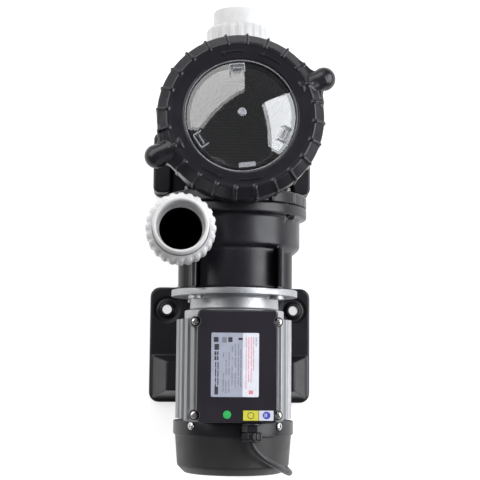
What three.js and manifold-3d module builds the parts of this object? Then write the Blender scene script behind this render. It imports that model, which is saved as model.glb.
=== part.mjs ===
// Pool pump: motor, self-priming pump casing and strainer pot on one base plate.
// Millimetres, +Z up, +Y towards the inlet. The origin is on the floor, midway between the mounting holes.
import * as THREE from "three";
import { mergeVertices } from "three/addons/utils/BufferGeometryUtils.js";
import Module from "manifold-3d";

const wasm = await Module();
wasm.setup();

// Driving dimensions
const GAP = 0.3;                  // clearance between pieces that touch
const SHAFT_Z = 121;              // height of the motor shaft's axis
const BASE_TOP = 14;              // height of the base plate's deck
const HOLE_X = 79.8;              // mounting holes, from the centreline
const POT_Y = 199.7;              // axis of the strainer pot
const RIM_Z = 222;                // top of the pot's rim
const INLET_Z = 160;              // axis of the inlet
const INLET_END = 339;            // open end of the inlet's tail
const OUTLET_X = -63.6;           // axis of the outlet
const OUTLET_Y = 73.5;
const OUTLET_END = 290;           // open end of the outlet's tail
const SOCKET_R = 25.6;            // pipe socket for 50 mm pipe
const BORE_R = 23;                // water way through a union
const FLANGE_R = 84;              // flange between casing and pot
const SPLIT_Y = 113;              // joint face between casing and pot
const MOTOR_REAR = -130;          // rear end of the motor housing
const MOTOR_FRONT = -17.3;        // front end of the motor housing
const STATOR_R = 55.2;            // bore of the motor housing
const COVER_TOP = 206;            // top of the terminal cover
const PAD_Z = 179;                // seat of the terminal cover on the housing
const COIL = { x: 24.5, y: -161.4, inner: 24, outer: 45, low: 1.1, high: 22.1 };
const CORD_R = 3.5;
const GLAND = { x: 17, z: 198.3, end: -153 };
const PLUG = { x: -43, z: 19.05, back: -117.5, face: -150, boot: -121 };

const SMALL = 8;
const COARSE = 12;
const MEDIUM = 20;
const FINE = 32;

// Colours, roughness and metalness
const plastic = new THREE.MeshStandardMaterial({ color: 0x1d1c20, roughness: 0.5, metalness: 0 });
const satin = new THREE.MeshStandardMaterial({ color: 0x2b2a2c, roughness: 0.6, metalness: 0 });
const aluminium = new THREE.MeshStandardMaterial({ color: 0xa4a6a8, roughness: 0.4, metalness: 1 });
const steel = new THREE.MeshStandardMaterial({ color: 0xb8b8ba, roughness: 0.3, metalness: 1 });
const white = new THREE.MeshStandardMaterial({ color: 0xe6e6e4, roughness: 0.4, metalness: 0 });
const clear = new THREE.MeshStandardMaterial({ color: 0xdfe4e8, roughness: 0.05 });
clear.transparent = true;
clear.opacity = 0.35;
const rubber = new THREE.MeshStandardMaterial({ color: 0x141414, roughness: 0.8, metalness: 0 });
const copper = new THREE.MeshStandardMaterial({ color: 0xa5562c, roughness: 0.5, metalness: 1 });
const iron = new THREE.MeshStandardMaterial({ color: 0x5a5c60, roughness: 0.6, metalness: 1 });
const ceramic = new THREE.MeshStandardMaterial({ color: 0xe8e2d4, roughness: 0.3, metalness: 0 });

const pump = new THREE.Group();

// ---- Solids ---------------------------------------------------------------------------------------------

function solid(geometry) {
  const bare = geometry.clone();
  bare.deleteAttribute("normal");
  bare.deleteAttribute("uv");
  const merged = mergeVertices(bare, 1e-4);
  const index = merged.index.array;
  const kept = [];
  for (let i = 0; i < index.length; i += 3) {
    const [a, b, c] = index.slice(i, i + 3);
    if (a !== b && b !== c && c !== a) kept.push(a, b, c);
  }
  const vertProperties = Float32Array.from(merged.attributes.position.array);
  return new wasm.Manifold(new wasm.Mesh({ numProp: 3, vertProperties, triVerts: Uint32Array.from(kept) }));
}

function geometryOf(body) {
  const { vertProperties, triVerts } = body.getMesh();
  const geometry = new THREE.BufferGeometry();
  geometry.setAttribute("position", new THREE.BufferAttribute(vertProperties, 3));
  geometry.setIndex(new THREE.BufferAttribute(triVerts, 1));
  geometry.computeVertexNormals();
  return geometry;
}

function piece(name, body, material) {
  const mesh = new THREE.Mesh(geometryOf(body), material);
  mesh.name = name;
  pump.add(mesh);
}

const join = (first, ...rest) => rest.reduce((sum, body) => sum.add(body), first);
const cut = (first, ...rest) => rest.reduce((sum, body) => sum.subtract(body), first);

// A body of revolution from a closed profile of [radius, along] points, listed counter-clockwise.
function lathe(profile, segments) {
  const points = profile.map(([r, t]) => new THREE.Vector2(r, t));
  const [first, last] = [points[0], points[points.length - 1]];
  if (first.x > 0 || last.x > 0) points.push(first.clone());
  return new THREE.LatheGeometry(points, segments);
}

const latheY = (profile, segments = FINE, x = 0, z = SHAFT_Z) =>
  solid(lathe(profile, segments).translate(x, 0, z));

const latheZ = (profile, segments = FINE, x = 0, y = POT_Y) =>
  solid(lathe(profile, segments).rotateX(Math.PI / 2).translate(x, y, 0));

const latheX = (profile, segments, y, z) =>
  solid(lathe(profile, segments).rotateZ(-Math.PI / 2).translate(0, y, z));

const rodProfile = (r, from, to) => [[0, from], [r, from], [r, to], [0, to]];
const ringProfile = (inner, outer, from, to) => [[inner, from], [outer, from], [outer, to], [inner, to]];
const rodY = (r, from, to, segments, x = 0, z = SHAFT_Z) => latheY(rodProfile(r, from, to), segments, x, z);
const rodZ = (r, from, to, segments, x = 0, y = POT_Y) => latheZ(rodProfile(r, from, to), segments, x, y);
const rodX = (r, from, to, segments, y, z) => latheX(rodProfile(r, from, to), segments, y, z);

function box(x0, x1, y0, y1, z0, z1) {
  const geometry = new THREE.BoxGeometry(x1 - x0, y1 - y0, z1 - z0);
  return solid(geometry.translate((x0 + x1) / 2, (y0 + y1) / 2, (z0 + z1) / 2));
}

// A block whose upper face is smaller than its lower face.
function frustum(low, high, z0, z1) {
  const geometry = new THREE.BoxGeometry(1, 1, 1);
  const position = geometry.attributes.position;
  for (let i = 0; i < position.count; i += 1) {
    const end = position.getZ(i) > 0 ? high : low;
    const x = position.getX(i) > 0 ? end.x1 : end.x0;
    const y = position.getY(i) > 0 ? end.y1 : end.y0;
    position.setXYZ(i, x, y, position.getZ(i) > 0 ? z1 : z0);
  }
  return solid(geometry);
}

const outline = (points) => new THREE.Shape(points.map(([x, y]) => new THREE.Vector2(x, y)));

// Extrusions of an outline in the XY plane along Z, and of one in the XZ plane along Y.
const prismZ = (shape, z0, z1, curveSegments = 6) => {
  const geometry = new THREE.ExtrudeGeometry(shape, { depth: z1 - z0, bevelEnabled: false, curveSegments });
  return solid(geometry.translate(0, 0, z0));
};

const prismY = (shape, y0, y1, curveSegments = 6) => {
  const geometry = new THREE.ExtrudeGeometry(shape, { depth: y1 - y0, bevelEnabled: false, curveSegments });
  return solid(geometry.rotateX(Math.PI / 2).translate(0, y1, 0));
};

function roundedRectangle(x0, x1, y0, y1, r) {
  const shape = new THREE.Shape();
  shape.moveTo(x0 + r, y0);
  shape.lineTo(x1 - r, y0);
  shape.absarc(x1 - r, y0 + r, r, -Math.PI / 2, 0);
  shape.lineTo(x1, y1 - r);
  shape.absarc(x1 - r, y1 - r, r, 0, Math.PI / 2);
  shape.lineTo(x0 + r, y1);
  shape.absarc(x0 + r, y1 - r, r, Math.PI / 2, Math.PI);
  shape.lineTo(x0, y0 + r);
  shape.absarc(x0 + r, y0 + r, r, Math.PI, 1.5 * Math.PI);
  return shape;
}

const fourWays = [[1, 1], [-1, 1], [-1, -1], [1, -1]];

// ---- Base -----------------------------------------------------------------------------------------------

function basePlate() {
  const rear = prismZ(roundedRectangle(-101, 101, -116, 28, 12), 0, BASE_TOP);
  const waist = box(-66, 66, 20, 150, 0, BASE_TOP);
  const front = prismZ(roundedRectangle(-99.5, 99.5, 143, 225, 10), 0, BASE_TOP);
  const low = { x0: -97.5, x1: 97.5, y0: -111, y1: -58 };
  const high = { x0: -79, x1: 79, y0: -100.8, y1: -65.5 };
  const pedestal = frustum(low, high, BASE_TOP - 1, 46);
  let plate = join(rear, waist, front, pedestal);
  for (const side of [-1, 1]) {
    const edge = Math.min(side * 77, side * 99.5);
    plate = plate.add(prismZ(roundedRectangle(edge, edge + 22.5, 146, 223, 8), BASE_TOP - 1, 30));
    plate = plate.add(rodZ(10.5, BASE_TOP - 1, 17, COARSE, side * HOLE_X, 0));
    plate = plate.subtract(rodZ(5.75, -1, 18, COARSE, side * HOLE_X, 0));
  }
  piece("base_plate", plate, plastic);
  piece("motor_pad", box(-30, 30, -98, -68, 46 + GAP, 53.6), rubber);
}

// ---- Pump casing ----------------------------------------------------------------------------------------

const flangeBolts = fourWays.map(([x, z]) => ({ x: 46 * x, z: SHAFT_Z + 42 * z }));
const casingBolts = fourWays.map(([x, z]) => ({ x: 55.2 * x, z: SHAFT_Z + 55.2 * z }));
const VOLUTE_DRAIN = { y: 80, z: 70 };

function bracketOutline() {
  const shape = new THREE.Shape();
  shape.moveTo(-66, BASE_TOP + GAP);
  shape.lineTo(66, BASE_TOP + GAP);
  shape.lineTo(66, 138);
  shape.absarc(42, 138, 24, 0, Math.PI / 3);
  shape.lineTo(48, 168);
  shape.lineTo(-48, 168);
  shape.lineTo(-54, 158.8);
  shape.absarc(-42, 138, 24, Math.PI * 2 / 3, Math.PI);
  return shape;
}

function voluteCasing() {
  const bracket = prismY(bracketOutline(), 17 + GAP, 60);
  const drum = [
    [0, 58], [66, 58], [73, 61], [76, 68], [76, 97], [FLANGE_R, 101],
    [FLANGE_R, SPLIT_Y - GAP], [0, SPLIT_Y - GAP],
  ];
  const spout = [[0, 100], [20, 104], [26, 112], [26, 226], [31, 232], [31, 251.4], [0, 251.4]];
  let casing = join(bracket, latheY(drum), latheZ(spout, MEDIUM, OUTLET_X, OUTLET_Y));
  casing = casing.add(box(-45, 45, 55, SPLIT_Y - GAP, BASE_TOP + GAP, 70));
  for (const side of [-1, 1]) {
    const edge = side * 45.5 - 2.5;
    casing = casing.add(box(edge, edge + 5, 17 + GAP, 99, 150, 199));
  }
  casing = casing.add(rodX(11, 40, 68, COARSE, VOLUTE_DRAIN.y, VOLUTE_DRAIN.z));
  const chamber = latheY([[0, 57], [14, 57], [14, 66], [66, 66], [66, SPLIT_Y + 1], [0, SPLIT_Y + 1]]);
  const hollow = latheY([[0, 10], [42, 10], [42, 24], [44, 24], [44, 50], [20, 50], [20, 58], [0, 58]]);
  casing = cut(casing, chamber, hollow);
  casing = cut(casing, latheZ([[0, 106], [BORE_R, 118], [BORE_R, 252], [0, 252]], MEDIUM, OUTLET_X, OUTLET_Y));
  casing = cut(casing, latheZ(ringProfile(26, 29.2, 248.4, 252), MEDIUM, OUTLET_X, OUTLET_Y));
  casing = cut(casing, rodX(7.8, 34, 69, COARSE, VOLUTE_DRAIN.y, VOLUTE_DRAIN.z));
  for (const { x, z } of flangeBolts) casing = casing.subtract(rodY(3.4, 10, 30, 12, x, z));
  for (const { x, z } of casingBolts) casing = casing.subtract(rodY(2.9, 101, SPLIT_Y, 12, x, z));
  piece("volute_casing", casing, plastic);
}

const POT_DRAIN_Z = 35;
const SPOUT_END = 300.4;           // sealing face of the inlet's spout

function strainerPot() {
  const foot = BASE_TOP + GAP;
  const wall = [[0, foot], [73.7, foot], [73.7, 198], [84.5, 206], [84.5, RIM_Z], [0, RIM_Z]];
  const hollow = [[0, 20], [66, 20], [66, 213.7], [69, 213.7], [69, RIM_Z + 1], [0, RIM_Z + 1]];
  const neck = box(-40, 40, 120, 150, 75, 167);
  let pot = join(latheZ(wall), latheY([[0, SPLIT_Y], [FLANGE_R, SPLIT_Y], [FLANGE_R, 127], [0, 127]]), neck);
  pot = pot.add(rodY(31, 250, SPOUT_END, MEDIUM, 0, INLET_Z));
  pot = pot.add(rodY(13, 262, 277, COARSE, 0, POT_DRAIN_Z));
  pot = cut(pot, latheZ(hollow), latheZ(ringProfile(73, 77, 218, RIM_Z + 1)));
  pot = cut(pot, rodY(18, SPLIT_Y - 1, 136, MEDIUM), latheY(ringProfile(70, 73, SPLIT_Y - 1, 116)));
  pot = cut(pot, rodY(BORE_R, 250, SPOUT_END + 1, MEDIUM, 0, INLET_Z));
  pot = cut(pot, latheY(ringProfile(26, 29.2, SPOUT_END - 3, SPOUT_END + 1), MEDIUM, 0, INLET_Z));
  pot = cut(pot, rodY(7.8, 255, 278, COARSE, 0, POT_DRAIN_Z));
  for (const { x, z } of casingBolts) pot = pot.subtract(rodY(2.9, SPLIT_Y - 1, 128, 12, x, z));
  piece("strainer_pot", pot, plastic);
}

function casingSeals() {
  const flat = (inner, outer, from, to) => ringProfile(inner + GAP, outer - GAP, from + GAP, to - GAP);
  piece("casing_o_ring", latheY(flat(70, 73, SPLIT_Y, 116)), rubber);
  piece("lid_o_ring", latheZ(flat(73, 77, 218, RIM_Z)), rubber);
  piece("inlet_o_ring", latheY(flat(26, 29.2, SPOUT_END - 3, SPOUT_END + GAP), MEDIUM, 0, INLET_Z), rubber);
  piece("outlet_o_ring", latheZ(flat(26, 29.2, 248.4, 251.7), MEDIUM, OUTLET_X, OUTLET_Y), rubber);
}

function drainPlugs() {
  const pot = [[0, 263], [7.2, 263], [7.2, 277 + GAP], [11, 277 + GAP], [11, 286], [0, 286]];
  const volute = [[0, 45], [7.2, 45], [7.2, 68 + GAP], [11, 68 + GAP], [11, 76], [0, 76]];
  piece("pot_drain_plug", latheY(pot, 12, 0, POT_DRAIN_Z), plastic);
  piece("volute_drain_plug", latheX(volute, 12, VOLUTE_DRAIN.y, VOLUTE_DRAIN.z), plastic);
}

function diffuser() {
  piece("diffuser", latheY([[23.5, 103], [65.4, 103], [65.4, 112.3], [19, 112.3], [19, 109]]), plastic);
}

// ---- Unions ---------------------------------------------------------------------------------------------

// Profiles run along the union, from its flange at 0 to the open end at 38.
const TAIL_LENGTH = 38;
const tailProfile = [
  [BORE_R, 0], [30.8, 0], [30.8, 5], [29.5, 5], [29.5, TAIL_LENGTH],
  [SOCKET_R, TAIL_LENGTH], [SOCKET_R, 4], [BORE_R, 4],
];
const NUT_LENGTH = 40;
const NUT_RIBS = 16;

function nutOutline() {
  const points = [];
  const steps = NUT_RIBS * 4;
  for (let i = 0; i < steps; i += 1) {
    const turn = (i / steps) * 2 * Math.PI;
    const r = 35.4 + 2.1 * Math.max(0, Math.cos(NUT_RIBS * turn)) ** 0.6;
    points.push([r * Math.cos(turn), r * Math.sin(turn)]);
  }
  return outline(points);
}

function unionNut() {
  const body = new THREE.ExtrudeGeometry(nutOutline(), { depth: NUT_LENGTH, bevelEnabled: false });
  const bore = lathe([[0, -1], [31.6, -1], [31.6, 27.3], [30.1, 27.3], [30.1, 41], [0, 41]], MEDIUM);
  return solid(body).subtract(solid(bore.rotateX(Math.PI / 2)));
}

function unions() {
  const shift = (points, start) => points.map(([r, t]) => [r, t + start]);
  const tailStart = OUTLET_END - TAIL_LENGTH;
  piece("outlet_tail", latheZ(shift(tailProfile, tailStart), MEDIUM, OUTLET_X, OUTLET_Y), white);
  piece("outlet_nut", unionNut().translate([OUTLET_X, OUTLET_Y, tailStart - 22]), white);
  const inletStart = INLET_END - TAIL_LENGTH;
  piece("inlet_tail", latheY(shift(tailProfile, inletStart), MEDIUM, 0, INLET_Z), white);
  piece("inlet_nut", unionNut().rotate([-90, 0, 0]).translate([0, inletStart - 22, INLET_Z]), white);
}

// ---- Lid, lock ring and basket --------------------------------------------------------------------------

const DOME_RISE = 17;

// Points of a shallow dome from its edge at [edge, z] to the axis.
function dome(edge, z, rise, steps) {
  const radius = (edge * edge + rise * rise) / (2 * rise);
  const points = [];
  for (let i = 0; i <= steps; i += 1) {
    const r = edge * (1 - i / steps);
    points.push([r, z + rise - radius + Math.sqrt(radius * radius - r * r)]);
  }
  return points;
}

function clearLid() {
  const inside = dome(57.5, 237, DOME_RISE, 4).reverse();
  const outside = dome(61.5, 241, DOME_RISE, 4).filter(([r]) => r > 5);
  const flange = [[57.5, RIM_Z + GAP], [82, RIM_Z + GAP], [82, 227], [61.5, 227]];
  const nub = [[4.7, 257.9], [4.7, 261.8], [0, 261.8]];
  piece("clear_lid", latheZ([...inside, ...flange, ...outside, ...nub], FINE), clear);
}

function handleOutline() {
  const shape = new THREE.Shape();
  shape.moveTo(80, -32);
  shape.lineTo(86, -29);
  shape.quadraticCurveTo(95, -14, 101.6, -13);
  shape.absarc(101.6, 0, 13, -Math.PI / 2, Math.PI / 2);
  shape.quadraticCurveTo(95, 14, 86, 29);
  shape.lineTo(80, 32);
  return shape;
}

const HANDLE_ANGLES = [26, 206];

function lockRing() {
  const profile = [
    [62, 227 + GAP], [70, 227 + GAP], [70, 239], [82, 239], [86.5, 234], [86.5, 205], [91.7, 205], [91.7, 237],
    [80, 246.5], [62, 244.5],
  ];
  let ring = latheZ(profile);
  const clearance = rodZ(87, 200, 250, FINE);
  for (const angle of HANDLE_ANGLES) {
    const handle = prismZ(handleOutline(), 222, 242).rotate([0, 0, angle]).translate([0, POT_Y, 0]);
    ring = ring.add(handle.subtract(clearance));
  }
  piece("lock_ring", ring, plastic);
}

function strainerBasket() {
  const shell = [
    [0, 30], [56, 30], [64, 214], [68.5, 214], [68.5, 217], [61.5, 217], [53.5, 32.5], [0, 32.5],
  ];
  let basket = latheZ(shell);
  basket = basket.subtract(rodY(20, 240, 275, 24, 0, INLET_Z));
  basket = basket.subtract(rodX(1.9, -70, 70, 12, POT_Y, 211));
  piece("strainer_basket", basket, plastic);
}

function basketHandle() {
  const shape = new THREE.Shape();
  shape.absarc(0, 0, 54, Math.PI, 2 * Math.PI);
  shape.lineTo(50, 0);
  shape.absarc(0, 0, 50, 2 * Math.PI, Math.PI, true);
  const bail = prismZ(shape, 209.5, 212.5, 14).translate([0, POT_Y, 0]);
  const tabs = [-1, 1].map((side) => join(
    box(Math.min(50 * side, 58 * side), Math.max(50 * side, 58 * side), POT_Y - 3, POT_Y + 3, 209.5, 212.5),
    rodX(1.4, Math.min(57 * side, 64 * side), Math.max(57 * side, 64 * side), 12, POT_Y, 211),
  ));
  piece("basket_handle", join(bail, ...tabs), plastic);
}

// ---- Motor ----------------------------------------------------------------------------------------------

const COVER_SCREWS = [[46, -21.5], [-46, -21.5], [-46, -124], [46, -124]];
const FAN_SCREW_Y = -137;
const FAN_SCREW_R = 69.1;

function motorFlange() {
  const profile = [
    [9.5, 6.3], [20.3, 6.3], [20.3, -9], [44, -9], [44, -17], [57.8, -17], [57.8, -7], [51.5, -6],
    [51.5, 9], [73.5, 9], [73.5, 17], [9.5, 17],
  ];
  let flange = latheY(profile);
  for (const { x, z } of flangeBolts) flange = flange.subtract(rodY(3.4, 5, 18, 12, x, z));
  piece("motor_flange", flange, aluminium);
}

function finOutline() {
  const fins = 36;
  const points = [];
  for (let i = 0; i < fins; i += 1) {
    for (const [part, r] of [[0, 61.5], [0.3, 61.5], [0.42, 67], [0.88, 67]]) {
      const turn = ((i + part) / fins) * 2 * Math.PI;
      points.push([r * Math.cos(turn), SHAFT_Z + r * Math.sin(turn)]);
    }
  }
  return outline(points);
}

function motorHousing() {
  let housing = prismY(finOutline(), MOTOR_REAR, MOTOR_FRONT);
  housing = housing.intersect(box(-70, 70, -140, 0, 0, PAD_Z));
  housing = housing.add(box(-44, 44, MOTOR_REAR, MOTOR_FRONT, 140, PAD_Z));
  for (const [x, y] of COVER_SCREWS) {
    const boss = rodZ(6, 140, PAD_Z, COARSE, x, y);
    housing = housing.add(boss.intersect(box(-60, 60, MOTOR_REAR, MOTOR_FRONT, 0, PAD_Z)));
  }
  housing = housing.subtract(rodY(STATOR_R, -140, 0, FINE));
  for (const [x, y] of COVER_SCREWS) housing = housing.subtract(rodZ(2.2, 170, 181, 10, x, y));
  piece("motor_housing", housing, aluminium);
}

function motorInside() {
  const stator = STATOR_R - GAP - 0.2;
  piece("stator_core", latheY(ringProfile(30.3, stator, -100, -40), MEDIUM), iron);
  piece("winding_front", latheY(ringProfile(33, 49, -39.7, -24), MEDIUM), copper);
  piece("winding_rear", latheY(ringProfile(33, 49, -116, -100.3), MEDIUM), copper);
  piece("front_bearing", latheY(ringProfile(8.6, 20, -6, 6), MEDIUM), steel);
  piece("rear_bearing", latheY(ringProfile(8.6, 20, -130.7, -118.7), MEDIUM), steel);
  piece("seal_seat", latheY(ringProfile(9, 13.6, 59, 65), 24), ceramic);
}

function rotor() {
  const shaft = [
    [0, -172], [7, -172], [7, -141], [8.2, -140], [8.2, -117], [10, -117], [10, -9], [8.2, -8],
    [8.2, 65], [6, 66], [6, 88], [0, 88],
  ];
  piece("shaft", latheY(shaft, 20), steel);
  piece("rotor_core", latheY(ringProfile(10.4, 29.5, -100, -40), MEDIUM), iron);
  piece("seal_head", latheY(ringProfile(8.6, 13, 65 + GAP, 74), 24), iron);
  piece("impeller", impeller(), plastic);
  piece("cooling_fan", coolingFan(), satin);
}

function impeller() {
  const disc = [[0, 74.3], [13, 74.3], [13, 76], [55, 76], [55, 79], [13, 79], [10, 93], [0, 93]];
  const back = latheY(disc, MEDIUM);
  const shroud = latheY([[20, 92], [55, 92], [55, 95], [22.5, 95], [22.5, 101], [20, 101]], MEDIUM);
  const blades = [];
  const bladeCount = 6;
  for (let i = 0; i < bladeCount; i += 1) {
    const blade = new THREE.Shape();
    blade.absarc(0, 32, 34, -1.45, -0.05);
    blade.absarc(0, 32, 31.5, -0.05, -1.45, true);
    const turned = prismZ(blade, 78.5, 92.5, 5).rotate([0, 0, (360 / bladeCount) * i]);
    blades.push(turned.rotate([-90, 0, 0]).translate([0, 0, SHAFT_Z]));
  }
  const wheel = join(back, shroud, ...blades);
  return wheel.subtract(rodY(6 + GAP, 70, 88 + GAP, 20));
}

function coolingFan() {
  const bladeCount = 9;
  let fan = latheY([[7.3, -171], [12, -171], [12, -153], [52, -153], [52, -150], [7.3, -150]], MEDIUM);
  for (let i = 0; i < bladeCount; i += 1) {
    const blade = box(11, 52, -171, -152, -1.2, 1.2).rotate([0, (360 / bladeCount) * i, 0]);
    fan = fan.add(blade.translate([0, 0, SHAFT_Z]));
  }
  return fan;
}

function rearEndShield() {
  const profile = [
    [9.5, -141], [65.8, -141], [65.8, -133.3], [57.8, -133.3], [57.8, MOTOR_REAR - GAP],
    [26, MOTOR_REAR - GAP],
    [26, -117], [20.3, -117], [20.3, -131], [9.5, -131],
  ];
  let shield = latheY(profile);
  for (const angle of [45, 135, 225, 315]) shield = shield.subtract(radialRod(2.2, 60, 68, angle));
  piece("rear_end_shield", shield, aluminium);
}

function radialRod(r, from, to, angle) {
  const rod = rodX(r, from, to, 12, 0, 0);
  return rod.rotate([0, -angle, 0]).translate([0, FAN_SCREW_Y, SHAFT_Z]);
}

function fanCover() {
  const profile = [
    [0, -191.5], [56, -191.5], [64.3, -183.5], [67, -151], [68.8, -151], [68.8, -133], [66.1, -133],
    [66.1, -149.5], [64.5, -151.5], [61.9, -182.5], [55, -189], [0, -189],
  ];
  let cover = latheY(profile);
  for (const [count, from, to] of [[8, 12, 26], [16, 31, 50]]) {
    for (let i = 0; i < count; i += 1) {
      const slot = box(from, to, -196, -187, -2.2, 2.2).rotate([0, (360 / count) * i, 0]);
      cover = cover.subtract(slot.translate([0, 0, SHAFT_Z]));
    }
  }
  for (const angle of [45, 135, 225, 315]) cover = cover.subtract(radialRod(2.2, 60, 75, angle));
  piece("fan_cover", cover, satin);
}

function terminalCover() {
  let cover = prismZ(roundedRectangle(-45, 45, -132, -9, 4), PAD_Z + GAP, COVER_TOP, 3);
  for (const [x, y] of COVER_SCREWS) cover = cover.subtract(rodZ(6, 190, 210, COARSE, x, y));
  for (const [x, y] of COVER_SCREWS) cover = cover.add(rodZ(6.3, PAD_Z + GAP, 190, COARSE, x, y));
  cover = cover.subtract(box(-36, 36, -128, -13, PAD_Z, COVER_TOP - 3));
  for (const [x, y] of COVER_SCREWS) cover = cover.subtract(rodZ(2.2, PAD_Z, 192, 10, x, y));
  cover = cover.subtract(rodY(5.8, -133, -127, COARSE, GLAND.x, GLAND.z - 2));
  piece("terminal_cover", cover, plastic);
  piece("capacitor", rodY(11.3, -100, -40, 24, -18, 191.2), white);
  piece("terminal_block", box(2, 32, -110, -80, PAD_Z + 0.5, 192), white);
}

function cableGland() {
  const stub = rodY(5.4, -132.4, -128.5, COARSE, GLAND.x, GLAND.z - 2);
  const hex = latheY(rodProfile(9.2, -142, -132 - GAP), 6, GLAND.x, GLAND.z);
  piece("gland_body", cut(join(hex, stub), rodY(2.6, -143, -127, 12, GLAND.x, GLAND.z - 1)), plastic);
  const nutProfile = [[0, GLAND.end], [5.4, GLAND.end], [9, -149], [9.2, -142 - GAP], [0, -142 - GAP]];
  const nut = latheY(nutProfile, COARSE, GLAND.x, GLAND.z);
  piece("gland_nut", nut.subtract(rodY(2.6, -154, -141, 12, GLAND.x, GLAND.z)), plastic);
}

// ---- Fasteners ------------------------------------------------------------------------------------------

function fasteners() {
  const screw = (head, shank, thickness, length) =>
    [[0, -length], [shank, -length], [shank, 0], [head, 0], [head, thickness], [0, thickness]];
  flangeBolts.forEach(({ x, z }, i) => {
    const profile = screw(5.5, 3, 4, 18).map(([r, t]) => [r, 9 - GAP - t]).reverse();
    piece(`flange_bolt_${i + 1}`, latheY(profile, SMALL, x, z), steel);
  });
  casingBolts.forEach(({ x, z }, i) => {
    const profile = screw(5, 2.5, 4, 24).map(([r, t]) => [r, t + 127 + GAP]);
    piece(`casing_bolt_${i + 1}`, latheY(profile, SMALL, x, z), steel);
  });
  COVER_SCREWS.forEach(([x, y], i) => {
    const profile = screw(4, 1.8, 2.6, 18).map(([r, t]) => [r, t + 190 + GAP]);
    piece(`cover_screw_${i + 1}`, latheZ(profile, SMALL, x, y), steel);
  });
  [45, 135, 225, 315].forEach((angle, i) => {
    const profile = screw(4.3, 1.8, 2.4, 8).map(([r, t]) => [r, t + FAN_SCREW_R]);
    const body = solid(lathe(profile, SMALL).rotateZ(-Math.PI / 2));
    piece(`fan_cover_screw_${i + 1}`, body.rotate([0, -angle, 0]).translate([0, FAN_SCREW_Y, SHAFT_Z]), steel);
  });
}

// ---- Mains lead -----------------------------------------------------------------------------------------

// The lead from the gland, over the fan cover's flank and down to the coil on the floor.
const LEAD_ROUTE = [
  [17.2, -154.9, 198.2], [19.5, -159, 197.9], [22.6, -163, 197.3], [26.4, -166.8, 196.1],
  [30.8, -170.3, 194.2], [35.5, -173.5, 191.4], [40.3, -176.5, 187.5], [45, -179.3, 182.4],
  [49.4, -182, 176.2], [53.5, -184.5, 168.9], [57.1, -186.7, 160.5], [60.2, -188.6, 151.1],
  [62.8, -190.2, 140.7], [64.7, -191.4, 129.4], [65.9, -192.2, 117.2],
  [66.5, -192.7, 104], [66.6, -192.5, 90], [66.4, -192.1, 76], [66.2, -191.6, 62],
  [66.1, -190.9, 47], [66, -189.8, 30.6], [66, -188.2, 23.4], [66, -184.5, 16.3],
  [66, -178.9, 10.6], [66, -175.6, 8.4],
];

// The lead from the coil's last turn to the plug.
const TAIL_ROUTE = [
  [14, -120.4, 18.7], [4, -120.9, 18.9], [-7, -121, 19], [-17, -121, 19],
];

function cordAlong(route, steps) {
  const points = route.map(([x, y, z]) => new THREE.Vector3(x, y, z));
  const curve = new THREE.CatmullRomCurve3(points, false, "centripetal");
  const section = new THREE.Shape();
  section.absarc(0, 0, CORD_R, 0, 2 * Math.PI);
  return solid(new THREE.ExtrudeGeometry(section, { extrudePath: curve, steps, curveSegments: 4 }));
}

function mainsLead() {
  const coilSpace = ringProfile(COIL.inner - GAP, COIL.outer + GAP, COIL.low - GAP, COIL.high + GAP);
  const coil = latheZ(coilSpace, FINE, COIL.x, COIL.y);
  piece("mains_lead", cordAlong(LEAD_ROUTE, 26).subtract(coil), rubber);
  piece("lead_tail", cordAlong(TAIL_ROUTE, 4).subtract(coil), rubber);
  const coilProfile = ringProfile(COIL.inner, COIL.outer, COIL.low, COIL.high);
  piece("lead_coil", latheZ(coilProfile, FINE, COIL.x, COIL.y), rubber);
  piece("coil_tie", coilTie(), rubber);
  piece("mains_plug", mainsPlug(), rubber);
}

function coilTie() {
  const band = box(22.1, 46.5, -6, 6, 0, 23.4);
  const inside = box(23.1, 45.4, -7, 7, COIL.low - GAP, COIL.high + GAP);
  return band.subtract(inside).rotate([0, 0, 225]).translate([COIL.x, COIL.y, 0]);
}

const BOOT_END = -17.4;

function mainsPlug() {
  const body = [
    [0, PLUG.face], [19, PLUG.face], [19, PLUG.face + 14], [16, PLUG.face + 22],
    [14.5, PLUG.back], [0, PLUG.back],
  ];
  let plug = latheY(body, 24, PLUG.x, PLUG.z);
  plug = plug.add(latheX([[0, -40], [5.6, -40], [4.6, BOOT_END], [0, BOOT_END]], COARSE, PLUG.boot, PLUG.z));
  for (const side of [-1, 1]) {
    plug = plug.add(rodY(2.4, PLUG.face - 19, PLUG.face + 1, 12, PLUG.x + side * 9.5, PLUG.z));
  }
  return plug;
}

basePlate();
voluteCasing();
strainerPot();
casingSeals();
drainPlugs();
diffuser();
unions();
clearLid();
lockRing();
strainerBasket();
basketHandle();
motorFlange();
motorHousing();
motorInside();
rotor();
rearEndShield();
fanCover();
terminalCover();
cableGland();
fasteners();
mainsLead();

export default pump;
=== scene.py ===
"""Pool pump: the visible pieces, materials, light and camera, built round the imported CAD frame.

Shapes are written in millimetres, in the CAD frame, and scaled to metres when a mesh is made.
"""
import math

import bmesh
import bpy
from mathutils import Matrix, Vector


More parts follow.
